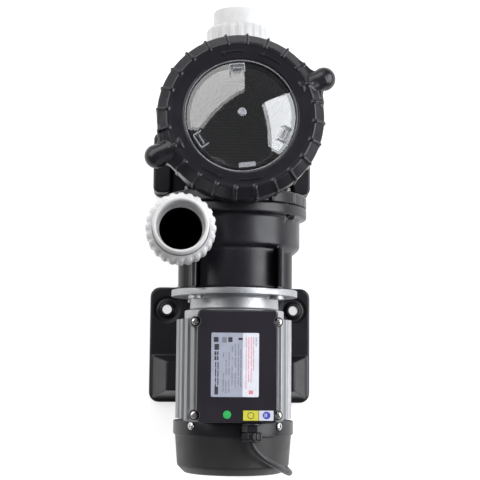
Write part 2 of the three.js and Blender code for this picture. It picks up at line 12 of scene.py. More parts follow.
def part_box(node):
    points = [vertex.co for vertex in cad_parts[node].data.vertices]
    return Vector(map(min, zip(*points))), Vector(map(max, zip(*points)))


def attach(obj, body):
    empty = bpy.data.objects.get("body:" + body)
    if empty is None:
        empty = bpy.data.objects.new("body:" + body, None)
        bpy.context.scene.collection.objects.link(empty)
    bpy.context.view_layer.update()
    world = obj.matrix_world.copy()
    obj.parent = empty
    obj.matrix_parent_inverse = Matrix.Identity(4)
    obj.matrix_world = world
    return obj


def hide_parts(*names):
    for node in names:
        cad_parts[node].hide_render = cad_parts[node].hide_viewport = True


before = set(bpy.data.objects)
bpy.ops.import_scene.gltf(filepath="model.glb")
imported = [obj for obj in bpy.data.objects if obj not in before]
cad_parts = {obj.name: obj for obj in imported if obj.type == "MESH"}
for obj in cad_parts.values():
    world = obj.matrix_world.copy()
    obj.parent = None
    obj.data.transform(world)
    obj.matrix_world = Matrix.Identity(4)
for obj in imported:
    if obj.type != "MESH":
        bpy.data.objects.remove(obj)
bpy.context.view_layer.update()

MM = 0.001
TAU = 2 * math.pi
scene = bpy.context.scene


def node_box(node):
    """Lowest and highest corner of a CAD node, in millimetres."""
    low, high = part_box(node)
    return low / MM, high / MM


def node_centre(node):
    low, high = node_box(node)
    return (low + high) / 2


SHAFT_Z = node_centre("shaft").z
BASE_TOP = 14.0
POT_Y = node_centre("clear_lid").y
AT_POT = (0, POT_Y, 0)
AT_SHAFT = (0, 0, SHAFT_Z)
OUTLET = node_centre("outlet_tail")
OUTLET_END = node_box("outlet_tail")[1].z
INLET = node_centre("inlet_tail")
INLET_END = node_box("inlet_tail")[1].y
COVER_TOP = node_box("terminal_cover")[1].z
GLAND = node_centre("gland_body")
PLUG = Vector((-43.0, -121.0, 19.05))
CORD_D = 7.0
COIL = Vector((24.5, -161.4, 4.6))


# ---- Camera ----

def make_camera():
    data = bpy.data.cameras.new("camera")
    data.sensor_width = 36
    data.lens = 84.8
    camera = bpy.data.objects.new("camera", data)
    camera.location = (-0.06145, -0.0701, 1.4435)
    camera.rotation_euler = (0.1104, -0.0520, 0.0091)
    scene.collection.objects.link(camera)
    scene.camera = camera


make_camera()


# ---- Materials ----

class Surface:
    """A node material with the few blocks that these finishes are made of."""

    def __init__(self, name, color, roughness, metallic=0.0, **sockets):
        self.material = bpy.data.materials.new(name)
        self.material.use_nodes = True
        self.nodes = self.material.node_tree.nodes
        self.links = self.material.node_tree.links
        self.shader = self.nodes["Principled BSDF"]
        self.shader.inputs["Base Color"].default_value = (*color, 1)
        self.shader.inputs["Roughness"].default_value = roughness
        self.shader.inputs["Metallic"].default_value = metallic
        for socket, value in sockets.items():
            self.shader.inputs[socket.replace("_", " ")].default_value = value
        self.coordinates = self.nodes.new("ShaderNodeTexCoord").outputs["Object"]
        self.bumped = None

    def node(self, kind, **inputs):
        made = self.nodes.new("ShaderNode" + kind)
        for socket, value in inputs.items():
            made.inputs[socket.replace("_", " ")].default_value = value
        return made

    def noise(self, scale, detail=3.0, stretch=(1, 1, 1)):
        mapping = self.node("Mapping", Scale=stretch)
        self.links.new(self.coordinates, mapping.inputs["Vector"])
        texture = self.node("TexNoise", Scale=scale, Detail=detail)
        self.links.new(mapping.outputs["Vector"], texture.inputs["Vector"])
        return texture.outputs["Fac"]

    def color_between(self, value, low, high):
        node = self.node("ValToRGB")
        for stop, position, color in zip(node.color_ramp.elements, (0.3, 0.7), (low, high)):
            stop.position = position
            stop.color = (*color, 1)
        self.links.new(value, node.inputs["Fac"])
        self.links.new(node.outputs["Color"], self.shader.inputs["Base Color"])

    def roughness(self, value, low, high):
        node = self.node("MapRange", From_Min=0.3, From_Max=0.7, To_Min=low, To_Max=high)
        self.links.new(value, node.inputs["Value"])
        self.links.new(node.outputs["Result"], self.shader.inputs["Roughness"])

    def bump(self, value, strength, depth):
        node = self.node("Bump", Strength=strength, Distance=depth)
        if self.bumped:
            self.links.new(self.bumped, node.inputs["Normal"])
        self.links.new(value, node.inputs["Height"])
        self.bumped = node.outputs["Normal"]
        self.links.new(self.bumped, self.shader.inputs["Normal"])


def shade(color, factor):
    return tuple(channel * factor for channel in color)


def moulded_plastic(name, color, roughness, grain=1400, depth=0.00008, gloss=0.5):
    surface = Surface(name, color, roughness, Specular_IOR_Level=gloss)
    clouds = surface.noise(18, 4)
    surface.color_between(clouds, shade(color, 0.82), shade(color, 1.2))
    surface.roughness(surface.noise(55, 5), roughness * 0.86, roughness * 1.16)
    surface.bump(surface.noise(grain, 2), 0.35, depth)
    surface.bump(surface.noise(60, 2), 0.12, 0.0004)
    return surface.material


def metal(name, color, roughness, grain, stretch=(1, 1, 1), depth=0.0001):
    surface = Surface(name, color, roughness, 1.0)
    fine = surface.noise(grain, 4, stretch)
    surface.color_between(surface.noise(24, 4, stretch), shade(color, 0.84), shade(color, 1.1))
    surface.roughness(fine, roughness * 0.8, roughness * 1.25)
    surface.bump(fine, 0.3, depth)
    return surface.material


def clear_plastic(name):
    surface = Surface(name, (1, 1, 1), 0.02, Transmission_Weight=1.0, IOR=1.53,
                      Coat_Weight=0.8, Coat_Roughness=0.02)
    surface.roughness(surface.noise(40, 3), 0.01, 0.03)
    return surface.material


def frosted_plastic(name):
    surface = Surface(name, (0.80, 0.81, 0.86), 0.22, Transmission_Weight=0.72, IOR=1.5)
    surface.bump(surface.noise(900, 2), 0.2, 0.00004)
    return surface.material


def printed(name, color, roughness):
    surface = Surface(name, color, roughness)
    surface.color_between(surface.noise(120, 3), shade(color, 0.93), shade(color, 1.05))
    surface.bump(surface.noise(600, 2), 0.15, 0.00003)
    return surface.material


BLACK = moulded_plastic("black_plastic", (0.0092, 0.0080, 0.0112), 0.33, gloss=0.42)
BASKET_GREY = moulded_plastic("basket_grey", (0.034, 0.031, 0.038), 0.5, gloss=0.4)
COVER_GREY = moulded_plastic("cover_plastic", (0.0290, 0.0270, 0.0268), 0.44, 1100, gloss=0.4)
COVER_BLACK = moulded_plastic("cover_black", (0.0185, 0.0165, 0.0215), 0.19, 1600, 0.00003, gloss=0.5)
LID_BLACK = moulded_plastic("ring_plastic", (0.0080, 0.0070, 0.0100), 0.30, 1600, 0.00006, gloss=0.42)
WHITE = moulded_plastic("union_white", (0.57, 0.565, 0.565), 0.36, 900)
CLEAR = clear_plastic("clear_lid")
FROSTED = frosted_plastic("clear_frosted")
DARK_STEEL = metal("dark_zinc", (0.16, 0.155, 0.16), 0.32, 700)
CAST = metal("aluminium_cast", (0.46, 0.465, 0.475), 0.46, 420, depth=0.00018)
EXTRUDED = metal("aluminium_extruded", (0.36, 0.363, 0.372), 0.50, 260, (1, 0.06, 1))
STEEL = metal("zinc_steel", (0.72, 0.71, 0.68), 0.24, 700)
SHAFT = metal("shaft_steel", (0.60, 0.60, 0.61), 0.22, 500, (1, 0.1, 1))
CORE = metal("core_steel", (0.22, 0.22, 0.24), 0.45, 300, (0.2, 4, 0.2))
COPPER = metal("winding_copper", (0.65, 0.27, 0.12), 0.35, 300, (3, 0.3, 3))
RUBBER = moulded_plastic("seal_rubber", (0.011, 0.011, 0.012), 0.62, 800)
LEAD = moulded_plastic("lead_rubber", (0.019, 0.0185, 0.020), 0.47, 900)
CERAMIC = moulded_plastic("seal_ceramic", (0.70, 0.66, 0.58), 0.25)
CAN = moulded_plastic("capacitor_can", (0.62, 0.62, 0.60), 0.35)
LABEL = printed("label_film", (0.36, 0.38, 0.46), 0.32)
LABEL_PALE = printed("label_pale", (0.70, 0.715, 0.78), 0.32)
INK = printed("label_ink", (0.035, 0.035, 0.045), 0.5)
INK_GREY = printed("label_ink_grey", (0.20, 0.21, 0.25), 0.5)
INK_RED = printed("label_ink_red", (0.72, 0.24, 0.26), 0.5)
GREEN = printed("sticker_green", (0.03, 0.42, 0.10), 0.4)
YELLOW = printed("sticker_yellow", (0.60, 0.56, 0.05), 0.4)
PALE = printed("sticker_white", (0.60, 0.61, 0.70), 0.4)
BLUE = printed("sticker_blue", (0.06, 0.07, 0.42), 0.4)


# ---- Mesh tools ----

def polar(r, turn, x=0, y=0):
    """The point at a radius and an angle in radians, round (x, y)."""
    return x + r * math.cos(turn), y + r * math.sin(turn)


def arc(x, y, r, start, end, steps=12):
    """Points of an arc, with its angles in degrees."""
    return [polar(r, math.radians(start + (end - start) * i / steps), x, y) for i in range(steps + 1)]


def rounded(points, radius, steps=4):
    """The outline with its corners turned into arcs; radius is one number or one for each point."""
    radii = radius if isinstance(radius, (list, tuple)) else [radius] * len(points)
    corners = [Vector((*p, 0)) for p in points]
    out = []
    for i, (corner, r) in enumerate(zip(corners, radii)):
        before, after = corners[i - 1] - corner, corners[(i + 1) % len(corners)] - corner
        if r <= 0 or before.length < 1e-6 or after.length < 1e-6:
            out.append((corner.x, corner.y))
            continue
        a, b = before.normalized(), after.normalized()
        half = math.acos(max(-1, min(1, a.dot(b)))) / 2
        if half > math.radians(88):
            out.append((corner.x, corner.y))
            continue
        reach = min(r / math.tan(half), 0.48 * before.length, 0.48 * after.length)
        r = reach * math.tan(half)
        centre = corner + (a + b).normalized() * (r / math.sin(half))
        first, last = corner + a * reach - centre, corner + b * reach - centre
        sweep = first.angle(last)
        for step in range(steps + 1):
            t = step / steps
            spoke = first if sweep < 1e-4 else (
                first * math.sin((1 - t) * sweep) + last * math.sin(t * sweep)) / math.sin(sweep)
            out.append((centre.x + spoke.x, centre.y + spoke.y))
    return out


def bridge(a, b, count):
    """Quads between two rings of points whose first points are a and b."""
    return [[a + k, a + (k + 1) % count, b + (k + 1) % count, b + k] for k in range(count)]


def place(points, axis="z", at=(0, 0, 0)):
    """Points made about +Z, turned to run along an axis and moved."""
    x, y, z = at
    if axis == "y":
        return [(a + x, h + y, b + z) for a, b, h in points]
    if axis == "x":
        return [(h + x, a + y, b + z) for a, b, h in points]
    return [(a + x, b + y, h + z) for a, b, h in points]


def revolve(profile, segments=128, axis="z", at=(0, 0, 0)):
    """A body of revolution from (radius, height) points; a profile clear of the axis makes a ring."""
    verts, faces, rows = [], [], []
    for r, h in profile:
        if r < 1e-6:
            rows.append([len(verts)] * segments)
            verts.append((0, 0, h))
            continue
        rows.append([len(verts) + k for k in range(segments)])
        verts += [(*polar(r, TAU * k / segments), h) for k in range(segments)]
    pairs = list(zip(rows, rows[1:]))
    if profile[0][0] > 1e-6 or profile[-1][0] > 1e-6:
        pairs.append((rows[-1], rows[0]))
    for low, high in pairs:
        for k in range(segments):
            n = (k + 1) % segments
            corners = list(dict.fromkeys([low[k], low[n], high[n], high[k]]))
            if len(corners) > 2:
                faces.append(corners)
    return place(verts, axis, at), faces


def cylinder(r, low, high, segments, axis="z", at=(0, 0, 0)):
    return revolve([(0, low), (r, low), (r, high), (0, high)], segments, axis, at)


def prism(outline, low, high, axis="z", at=(0, 0, 0), edge=0.0):
    """An outline extruded from low to high; edge rounds its two ends."""
    rings = [(low, 0.0), (high, 0.0)]
    if edge > 0:
        up = arc(edge, edge, edge, 270, 180, 3)
        rings = [(low + h, inset) for inset, h in up] + [(high - h, inset) for inset, h in reversed(up)]
    verts, count = [], len(outline)
    for h, inset in rings:
        verts += [(a, b, h) for a, b in shrink(outline, inset)]
    faces = []
    for ring in range(len(rings) - 1):
        faces += bridge(ring * count, (ring + 1) * count, count)
    faces.append(list(reversed(range(count))))
    faces.append(list(range((len(rings) - 1) * count, len(rings) * count)))
    return place(verts, axis, at), faces


def shrink(outline, inset):
    """The outline moved inwards, for a small inset."""
    if inset <= 0:
        return outline
    area = sum(a[0] * b[1] - b[0] * a[1] for a, b in zip(outline, outline[1:] + outline[:1]))
    side = 1 if area > 0 else -1
    out = []
    for i, point in enumerate(outline):
        before = Vector(point) - Vector(outline[i - 1])
        after = Vector(outline[(i + 1) % len(outline)]) - Vector(point)
        across = Vector((0, 0))
        for step in (before, after):
            if step.length > 1e-9:
                across += Vector((-step.y, step.x)).normalized() * side
        across = across.normalized() if across.length > 1e-9 else across
        out.append((point[0] + across.x * inset, point[1] + across.y * inset))
    return out


def hexagon(r):
    return [polar(r, TAU * i / 6) for i in range(6)]


def rectangle(x0, x1, y0, y1, r=0.0, steps=5):
    corners = [(x0, y0), (x1, y0), (x1, y1), (x0, y1)]
    return rounded(corners, r, steps) if r > 0 else corners


def block(x0, x1, y0, y1, z0, z1, r=0.0, edge=0.0):
    return prism(rectangle(x0, x1, y0, y1, r), z0, z1, edge=edge)


def frustum(low, high, z0, z1):
    """A block between two (x0, x1, y0, y1) rectangles."""
    verts = []
    for (x0, x1, y0, y1), z in ((low, z0), (high, z1)):
        verts += [(x0, y0, z), (x1, y0, z), (x1, y1, z), (x0, y1, z)]
    faces = [[3, 2, 1, 0], [4, 5, 6, 7]] + [[i, (i + 1) % 4, 4 + (i + 1) % 4, 4 + i] for i in range(4)]
    return verts, faces


def turned(shape, angle, centre=(0, 0)):
    """A shape turned about a vertical axis, by an angle in degrees."""
    verts, faces = shape
    c, s = math.cos(math.radians(angle)), math.sin(math.radians(angle))
    x, y = centre
    return [(x + c * (a - x) - s * (b - y), y + s * (a - x) + c * (b - y), h) for a, b, h in verts], faces


def spun(at, angle, axis="Y"):
    """The move that turns about an axis, by an angle in radians, then shifts to at."""
    return Matrix.Translation(at) @ Matrix.Rotation(angle, 4, axis)


def moved(shape, matrix):
    verts, faces = shape
    return [tuple(matrix @ Vector(v)) for v in verts], faces


def outward(shape):
    """A closed shape with its faces pointing out."""
    verts, faces = shape
    points = [Vector(v) for v in verts]
    volume = 0.0
    for face in faces:
        first = points[face[0]]
        for a, b in zip(face[1:], face[2:]):
            volume += first.dot(points[a].cross(points[b]))
    return (verts, faces) if volume > 0 else (verts, [face[::-1] for face in faces])


def gather(shapes):
    """Several shapes as one list of points and faces."""
    verts, faces = [], []
    for points, polygons in map(outward, shapes):
        start = len(verts)
        verts += points
        faces += [[start + i for i in polygon] for polygon in polygons]
    return verts, faces


def mesh_from(name, shape):
    verts, faces = shape
    mesh = bpy.data.meshes.new(name)
    mesh.from_pydata([(x * MM, y * MM, z * MM) for x, y, z in verts], [], faces)
    return mesh


def new_object(name, mesh):
    made = bpy.data.objects.new(name, mesh)
    scene.collection.objects.link(made)
    return made


def modify(target, kind, **settings):
    modifier = target.modifiers.new(kind.lower(), kind)
    for setting, value in settings.items():
        setattr(modifier, setting, value)


def apply_modifiers(target):
    """The object's mesh with its modifiers applied."""
    bpy.context.view_layer.update()
    graph = bpy.context.evaluated_depsgraph_get()
    final = bpy.data.meshes.new_from_object(target.evaluated_get(graph))
    old = target.data
    target.modifiers.clear()
    target.data = final
    bpy.data.meshes.remove(old)


def combine(target, shapes, operation):
    """Joins or cuts closed shapes, one after another."""
    others = [new_object("tool", mesh_from("tool", outward(shape))) for shape in shapes]
    for other in others:
        modify(target, "BOOLEAN", operation=operation, solver="MANIFOLD", object=other)
    apply_modifiers(target)
    for other in others:
        mesh = other.data
        bpy.data.objects.remove(other)
        bpy.data.meshes.remove(mesh)


def piece(name, shapes, material, body="root", replaces=(), cuts=(), union=(), voxel=0.0,
          relax=0, bevel=0.0, angle=35):
    """A visible piece from closed shapes: joined, cut, then softened as a moulding or bevelled."""
    target = new_object(name, mesh_from(name, gather(shapes)))
    if union:
        combine(target, union, "UNION")
    if cuts:
        combine(target, cuts, "DIFFERENCE")
    if voxel:
        modify(target, "REMESH", mode="VOXEL", voxel_size=voxel * MM)
        modify(target, "SMOOTH", factor=0.5, iterations=relax)
        apply_modifiers(target)
    if bevel:
        modify(target, "BEVEL", width=bevel * MM, segments=3, limit_method="ANGLE",
               angle_limit=math.radians(40), use_clamp_overlap=True)
        apply_modifiers(target)
    target.data.name = name
    return finish_piece(target, material, body, replaces, angle)


def finish_piece(target, material, body, replaces=(), angle=35):
    target.data.shade_smooth()
    target.data.set_sharp_from_angle(angle=math.radians(angle))
    target.data.materials.clear()
    target.data.materials.append(material)
    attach(target, body)
    if replaces:
        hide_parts(replaces)
    return target


def round_curve(name, points, radius, resolution, material):
    """A round rod or cord on one smooth curve through the points."""
    data = bpy.data.curves.new(name, "CURVE")
    data.dimensions = "3D"
    data.bevel_depth = radius * MM
    data.bevel_resolution = resolution
    data.use_fill_caps = True
    spline = data.splines.new("BEZIER")
    spline.bezier_points.add(len(points) - 1)
    for knot, point in zip(spline.bezier_points, points):
        knot.co = Vector(point) * MM
        knot.handle_left_type = knot.handle_right_type = "AUTO"
    data.materials.append(material)
    return new_object(name, data)


# ---- Mains lead ----

LEAD_ROUTE = [
    (16.3, -151.5, 198.3), (17.2, -154.9, 198.2), (19.5, -159, 197.9), (22.6, -163, 197.3),
    (26.4, -166.8, 196.1), (30.8, -170.3, 194.2), (35.5, -173.5, 191.4), (40.3, -176.5, 187.5),
    (45, -179.3, 182.4), (49.4, -182, 176.2), (53.5, -184.5, 168.9), (57.1, -186.7, 160.5),
    (60.2, -188.6, 151.1), (62.8, -190.2, 140.7), (64.7, -191.4, 129.4), (65.9, -192.2, 117.2),
    (66.5, -192.7, 104), (66.6, -192.5, 90), (66.4, -192.1, 76), (66.2, -191.6, 62),
    (66.1, -190.9, 47), (66, -189.8, 30.6), (66, -188.2, 23.4), (66, -184.5, 16.3),
    (66, -178.9, 10.6), (66, -172.1, 6.7), (66, -165.4, 4.9),
]
TAIL_ROUTE = [
    (25, -120, 18.6), (14, -120.4, 18.7), (4, -120.9, 18.9), (-7, -121, 19), (-17.6, -121, 19),
]
# The coil: (turn angle in degrees, radius, height above the lowest layer) where each changes.
COIL_STEPS = [
    (0, 41.5, 0), (240, 41.5, 0), (360, 34.5, 0), (600, 34.5, 0), (720, 27.5, 0), (900, 27.5, 0),
    (1020, 27.5, 7), (1140, 34.5, 7), (1320, 34.5, 7), (1440, 34.5, 14), (1620, 34.5, 14),
    (1740, 40.6, 14), (1790, 41.5, 14), (1875, 41.5, 14),
]


def eased(t):
    return t * t * (3 - 2 * t)


def coil_points(step=18.75):
    points, angle = [], 0.0
    while angle < COIL_STEPS[-1][0] + 0.1:
        before = max((s for s in COIL_STEPS if s[0] <= angle), key=lambda s: s[0])
        after = min((s for s in COIL_STEPS if s[0] > angle), key=lambda s: s[0], default=before)
        span = after[0] - before[0]
        t = eased((angle - before[0]) / span) if span else 0
        radius = before[1] + (after[1] - before[1]) * t
        height = before[2] + (after[2] - before[2]) * t
        points.append((*polar(radius, math.radians(angle), COIL.x, COIL.y), COIL.z + height))
        angle += step
    return points


def mains_lead():
    cord = round_curve("mains_cord", LEAD_ROUTE + coil_points() + TAIL_ROUTE, CORD_D / 2, 5, LEAD)
    cord.data.resolution_u = 6
    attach(cord, "root")
    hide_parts("mains_lead", "lead_coil", "lead_tail")
    tie = piece("coil_tie_band", [tie_band()], RUBBER, replaces="coil_tie", bevel=0.3)
    plug, pins, collar = mains_plug()


def tie_band():
    """A flat band round the coil's section, set radially at 225 degrees."""
    band = rectangle(22.9, 46.1, 0.1, 23.1, 4)
    hole = rectangle(23.8, 45.2, 1, 22.2, 3.4)
    return turned(frame_shape(band, hole, -5, 5, "y", (COIL.x, COIL.y, 0)), 225, (COIL.x, COIL.y))


def frame_shape(outer, inner, low, high, axis="z", at=(0, 0, 0)):
    """An outline with a hole of as many points, extruded."""
    verts, count = [], len(outer)
    for h in (low, high):
        verts += [(a, b, h) for a, b in outer] + [(a, b, h) for a, b in inner]
    faces = []
    for a, b in ((0, 2), (3, 1), (1, 0), (2, 3)):
        faces += bridge(a * count, b * count, count)
    return place(verts, axis, at), faces


def mains_plug():
    """An angled moulded plug lying on its side, its pins along -Y and its boot along +X."""
    x, z = PLUG.x, PLUG.z
    at = tuple(PLUG)
    body = [(0, -150), (19, -150), (19, -136), (16, -128), (14.5, -117.5), (0, -117.5)]
    soft = rounded(body, [0, 1.5, 5, 5, 4, 0], 5)
    boot = rounded([(0, 0), (6.2, 0), (4.6, 26), (0, 26)], [0, 1, 1.2, 0])
    grips = []
    for h in (17.5, 20.6):
        r = 6.1 - h * 0.055
        grip = rounded([(4.2, h), (r, h), (r, h + 2.2), (4.2, h + 2.2)], 0.5)
        grips.append(revolve(grip, 32, "x", at))
    shapes = [revolve(soft, 64, "y", (x, 0, z)), revolve(boot, 40, "x", at)] + grips
    plug = piece("mains_plug_body", shapes, RUBBER, replaces="mains_plug", voxel=0.7,
                 relax=5)
    pin = rounded([(0, -168.6), (2.4, -168.6), (2.4, -149), (0, -149)], [0, 1.6, 0, 0])
    pins = piece("mains_plug_pins", [revolve(pin, 24, "y", (x + side * 9.5, 0, z)) for side in (-1, 1)], STEEL)
    ring = rectangle(15.2, 17.4, -150.5, -149, 0.3, 4)
    collar = piece("mains_plug_face", [revolve(ring, 64, "y", (x, 0, z))], LEAD)
    return plug, pins, collar


mains_lead()


# ---- Base ----

HOLES = [(-79.8, 0), (79.8, 0)]


def base():
    rear = block(-101, 101, -116, 28, 0, BASE_TOP, 12, 2.2)
    waist = block(-66, 66, 20, 150, 0, BASE_TOP)
    front = block(-99.5, 99.5, 143, 225, 0, BASE_TOP, 10, 2.2)
    pedestal = frustum((-97.5, 97.5, -111, -58), (-79, 79, -100.8, -65.5), BASE_TOP - 1, 46)
    joined = [waist, front, pedestal]
    cuts = []
    for side in (-1, 1):
        edge = min(side * 77, side * 99.5)
        joined.append(block(edge, edge + 22.5, 146, 223, 10, 30, 8, 2))
        joined.append(block(side * 62 - 4, side * 62 + 4, 24, 146, 0, BASE_TOP + 5))
    for x, y in HOLES:
        boss = rounded([(0, 5), (10.4, 5), (9.4, 17.4), (0, 17.4)], [0, 0, 1.2, 0])
        joined.append(revolve(boss, 48, at=(x, y, 0)))
        cuts.append(cylinder(5.9, -2, 20, 48, at=(x, y, 0)))
        floor_z, top = BASE_TOP - 2.2, BASE_TOP + 1
        moat = [(10.4, floor_z), (15.5, floor_z), (16.6, top), (10.4, top)]
        cuts.append(revolve(moat, 48, at=(x, y, 0)))
    piece("base_plate_moulding", [rear], BLACK, replaces="base_plate", union=joined,
          cuts=cuts, voxel=1.15, relax=6)
    piece("motor_rest_pad", [block(-30, 30, -98, -68, 46.3, 53.6, 3, 1.2)], RUBBER,
          replaces="motor_pad")


# ---- Pump casing and strainer pot ----

FLANGE_R = 84
QUARTERS = [(1, 1), (-1, 1), (-1, -1), (1, -1)]
FLANGE_BOLTS = [(46 * x, SHAFT_Z + 42 * z) for x, z in QUARTERS]
CASING_BOLTS = [(55.2 * x, SHAFT_Z + 55.2 * z) for x, z in QUARTERS]
DRAIN_IN_VOLUTE = (0, 80, 70)


def on_y(x_and_z, y=0.0):
    x, z = x_and_z
    return x, y, z


def bracket_outline():
    right = [(66, BASE_TOP + 0.3), (66, 138)] + arc(42, 138, 24, 0, 60, 8) + [(50, 168)]
    return right + [(-x, z) for x, z in reversed(right)]


def casing():
    drum = rounded([(0, 58), (67, 58), (76, 66), (76, 99), (FLANGE_R, 101), (FLANGE_R, 112.7), (0, 112.7)],
                   [0, 2, 6, 3, 2, 1, 0])
    panel = prism([(-42, 100), (42, 100)] + arc(0, SHAFT_Z, 72, 54.3, 125.7, 24), 17.4, 60, "y")
    spout = [(0, 100), (20, 104), (26, 112), (26, 226), (31, 232), (31, 251.4), (0, 251.4)]
    at_outlet = (OUTLET.x, OUTLET.y, 0)
    joined = [revolve(drum, 128, "y", AT_SHAFT), panel, revolve(spout, 64, at=at_outlet),
              block(-45, 45, 55, 112.7, BASE_TOP + 0.3, 70),
              cylinder(11.5, 40, 68, 40, "x", DRAIN_IN_VOLUTE)]
    for side in (-1, 1):
        x0, x1 = side * 48.2 - 3, side * 48.2 + 3
        rib = rounded([(x0, 150), (x1, 150), (x1, 197), (x0, 197)], [0, 0, 2.6, 2.6])
        joined.append(prism(rib, 17.4, 62, "y"))
        joined.append(block(side * 58 - 8, side * 58 + 8, 96, 112.7, 120, 171, 2))
    bore = [(0, 106), (23, 118), (23, 252), (0, 252)]
    chamber = [(0, 57), (14, 57), (14, 66), (66, 66), (66, 114), (0, 114)]
    hollow = [(0, 10), (42, 10), (42, 50), (20, 50), (20, 58), (0, 58)]
    cuts = [revolve(chamber, 64, "y", AT_SHAFT), revolve(hollow, 64, "y", AT_SHAFT),
            revolve(bore, 64, at=at_outlet),
            revolve(rectangle(26, 29.2, 248.4, 253), 64, at=at_outlet),
            cylinder(7.8, 34, 70, 32, "x", DRAIN_IN_VOLUTE)]
    for flange_bolt, casing_bolt in zip(FLANGE_BOLTS, CASING_BOLTS):
        cuts.append(cylinder(3.5, 10, 30, 20, "y", on_y(flange_bolt)))
        cuts.append(cylinder(3.0, 90, 114, 20, "y", on_y(casing_bolt)))
    piece("volute_moulding", [prism(bracket_outline(), 17.4, 60, "y")], BLACK, replaces="volute_casing",
          union=joined, cuts=cuts, voxel=1.1, relax=6)


def pot():
    foot = BASE_TOP + 0.3
    wall = rounded([(0, foot), (73.7, foot), (73.7, 198), (84.5, 206), (84.5, 222), (0, 222)],
                   [0, 3, 8, 3, 1, 0])
    flange = rounded([(0, 113), (FLANGE_R, 113), (FLANGE_R, 127), (0, 127)], [0, 1, 2, 0])
    spout = [(0, 250), (31, 250), (31, INLET_END - 38.6), (0, INLET_END - 38.6)]
    inlet = (INLET.x, 0, INLET.z)
    joined = [revolve(flange, 128, "y", AT_SHAFT), block(-40, 40, 120, 150, 75, 167),
              revolve(spout, 64, "y", inlet),
              cylinder(13, 262, 277, 40, "y", (0, 0, 35))]
    joined += [block(50, 66, 113.2, 127, 120, 176, 1.5), block(66, 79, 113.2, 125, 120, 152, 1.5),
               block(-66, -50, 113.2, 127, 120, 176, 1.5), block(36, 39, 113.2, 128, 150, 202, 0.8)]
    for x in (-24, 24):
        joined.append(block(x - 2.5, x + 2.5, 240, 284, 60, 130))
    hollow = [(0, 20), (66, 20), (66, 213.7), (69, 213.7), (69, 224), (0, 224)]
    cuts = [revolve(hollow, 128, at=AT_POT), revolve(rectangle(73, 77, 218, 224), 128, at=AT_POT),
            cylinder(18, 112, 136, 48, "y", AT_SHAFT),
            revolve(rectangle(70, 73, 112, 116), 96, "y", AT_SHAFT),
            cylinder(23, 250, 305, 48, "y", inlet),
            revolve(rectangle(26, 29.2, INLET_END - 41.6, 302), 48, "y", inlet),
            cylinder(7.8, 255, 278, 32, "y", (0, 0, 35))]
    cuts += [cylinder(3.0, 112, 129, 20, "y", on_y(bolt)) for bolt in CASING_BOLTS]
    piece("pot_moulding", [revolve(wall, 128, at=AT_POT)], BLACK, replaces="strainer_pot",
          union=joined, cuts=cuts, voxel=1.15, relax=5)


PLUG_LENGTH = 24.3


def drain_plugs():
    head = [(0, 0), (7.2, 0), (7.2, 13.3), (11, 13.3), (11, 22.5), (0, 22.5)]
    wing = block(-8.5, 8.5, -1.6, 1.6, 20, PLUG_LENGTH, 1.2)
    for name, body, node, axis in (("pot_drain_cap", "pot_plug", "pot_drain_plug", "y"),
                                   ("volute_drain_cap", "volute_plug", "volute_drain_plug", "x")):
        at, along = node_centre(node), "xyz".index(axis)
        at[along] = node_box(node)[1][along] - PLUG_LENGTH
        shapes = [revolve(rounded(head, [0, 1, 0, 1, 1.5, 0]), 40, axis, at)]
        grip = (place(wing[0], axis, at), wing[1])
        piece(name, shapes, BLACK, body, node, union=[grip], voxel=0.5, relax=4)


# ---- Unions ----

NUT_LENGTH = 40
NUT_GRIPS = 24
NUT_POINTS = 384


def nut_outline(reach=0.0):
    """Low rounded grips round the nut; reach moves the whole outline in or out."""
    points = []
    for i in range(NUT_POINTS):
        turn = TAU * i / NUT_POINTS
        wave = math.cos(NUT_GRIPS * turn)
        bulge = 0.5 + 0.5 * math.tanh(2.4 * (wave + 0.2))
        points.append(polar(35.9 + 1.5 * bulge + reach, turn))
    return points


def union_nut(name, node, axis, at, body):
    """The nut is built up from rings of its outline, so that both ends are softly rounded."""
    rings = [(0.0, -2.2), (0.5, -1.0), (1.4, -0.2), (2.4, 0), (NUT_LENGTH - 5.5, 0), (NUT_LENGTH - 3, -0.5),
             (NUT_LENGTH - 1.2, -1.7), (NUT_LENGTH - 0.3, -3.0), (NUT_LENGTH, -4.6)]
    verts, faces = [], []
    count = NUT_POINTS
    for h, reach in rings:
        verts += [(a, b, h) for a, b in nut_outline(reach)]
    inner = [(30.4, NUT_LENGTH), (30.1, NUT_LENGTH - 0.4), (30.1, 27.3), (31.6, 27.3), (31.6, 0.6), (32.2, 0)]
    for r, h in inner:
        verts += [(*polar(r, TAU * i / count), h) for i in range(count)]
    total = len(rings) + len(inner)
    for ring in range(total):
        faces += bridge(ring * count, (ring + 1) % total * count, count)
    piece(name, [(place(verts, axis, at), faces)], WHITE, body, node, angle=50)


def unions():
    """Tail and nut of the outlet and of the inlet."""
    profile = [(23, 0), (30.8, 0), (30.8, 5), (29.5, 5), (29.5, 38), (25.6, 38), (25.3, 4), (23, 4)]
    soft = rounded(profile, [0.5, 0.5, 0.8, 0, 2.2, 2.6, 0.3, 0.5], 5)
    for name, axis, centre, end in (("outlet", "z", OUTLET, OUTLET_END), ("inlet", "y", INLET, INLET_END)):
        at = [centre.x, centre.y, centre.z]
        at["xyz".index(axis)] = end - 38
        piece(f"{name}_tail_socket", [revolve(soft, 128, axis, tuple(at))], WHITE,
              replaces=f"{name}_tail")
        at["xyz".index(axis)] = end - 60
        union_nut(f"{name}_union_nut_body", f"{name}_nut", axis, tuple(at), f"{name}_union_nut")


# ---- Lock ring, lid and basket ----

RIB_COUNT = 24
RIB_PHASE = 11.2
HANDLES = (26.2, 206.2)
BALL_R = 13.2
ARROW_ANGLES = (97, 62, 277, 242)


